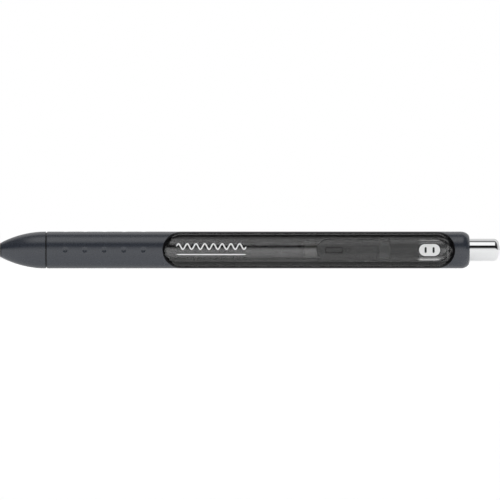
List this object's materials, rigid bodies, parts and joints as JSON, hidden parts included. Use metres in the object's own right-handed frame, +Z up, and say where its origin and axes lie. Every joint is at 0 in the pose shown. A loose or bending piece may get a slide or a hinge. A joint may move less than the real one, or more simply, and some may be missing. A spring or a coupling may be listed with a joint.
{
  "type": "retractable gel pen",
  "caption": "Push-button gel pen with a rubber-skinned barrel, long smoke window, spring clip and screw-off nose; its refill slides out to write.",
  "frame": {"origin": "on the flat underside of the barrel, under the pen's axis, at half of its length", "axes": "+X along the pen from nose to push button; the clip is on the -Y side; +Z up, away from the surface that the barrel lies on"},
  "size_m": [0.145, 0.0126, 0.0106],
  "materials": {
    "rubber_grip": "soft-touch matte",
    "smoke_plastic": "clear smoke, polished",
    "nose_plastic": "satin",
    "white_plastic": "satin",
    "button_chrome": "polished plating",
    "cam_plastic": "moulded",
    "natural_plastic": "natural acetal",
    "clear_tube": "clear extruded tube",
    "black_ink": "wet",
    "grease": "clear grease",
    "tip_steel": "turned",
    "spring_steel": "drawn wire"
  },
  "bodies": {
    "barrel": {"barrel_tube": "smoke_plastic", "grip_sleeve": "rubber_grip", "cam_guide": "cam_plastic"},
    "clip": {"clip_arm": "smoke_plastic", "clip_badge": "white_plastic"},
    "plunger": {"plunger_cap": "button_chrome", "plunger_stem": "natural_plastic"},
    "refill": {"refill_tube": "clear_tube", "ink_column": "black_ink", "grease_follower": "grease", "refill_tail_plug": "natural_plastic", "nib_holder": "cam_plastic", "tip_cone": "tip_steel"},
    "ball": {"writing_ball": "tip_steel"},
    "rotor": {"cam_rotor": "natural_plastic"},
    "spring": {"return_spring": "spring_steel"},
    "nose": {"nose_core": "nose_plastic", "nose_sleeve": "rubber_grip"}
  },
  "joints": [
    {"name": "clip_flex", "type": "hinge", "parent": "barrel", "child": "clip", "pos_m": [0.059, -0.00535, 0.00532], "axis": [0, 0, 1], "range_deg": [0, 5], "stiffness_Nm_per_rad": 2},
    {"name": "plunger_press", "type": "slide", "parent": "barrel", "child": "plunger", "axis": [-1, 0, 0], "range_m": [0, 0.0055], "stiffness_N_per_m": 300, "springref_m": -0.005},
    {"name": "refill_slide", "type": "slide", "parent": "barrel", "child": "refill", "axis": [-1, 0, 0], "range_m": [0, 0.0055], "deforming": ["return_spring"]},
    {"name": "rotor_turn", "type": "hinge", "parent": "refill", "child": "rotor", "pos_m": [0.044, 0, 0.00532], "axis": [1, 0, 0], "range_deg": [0, 22.5]},
    {"name": "ball_roll", "type": "hinge", "parent": "refill", "child": "ball", "pos_m": [-0.07063, 0, 0.00532], "axis": [0, 1, 0], "continuous": true},
    {"name": "nose_travel", "type": "slide", "parent": "barrel", "child": "spring", "axis": [-1, 0, 0], "range_m": [0, 0.0045]},
    {"name": "nose_unscrew", "type": "hinge", "parent": "spring", "child": "nose", "pos_m": [-0.066, 0, 0.00532], "axis": [-1, 0, 0], "range_deg": [0, 1080]}
  ],
  "couplings": [
    {"joint": "refill_slide", "follows": "plunger_press", "ratio": 1},
    {"joint": "rotor_turn", "follows": "plunger_press", "rad_per_m": 71.4},
    {"joint": "nose_unscrew", "follows": "nose_travel", "rad_per_m": 4188.8}
  ]
}
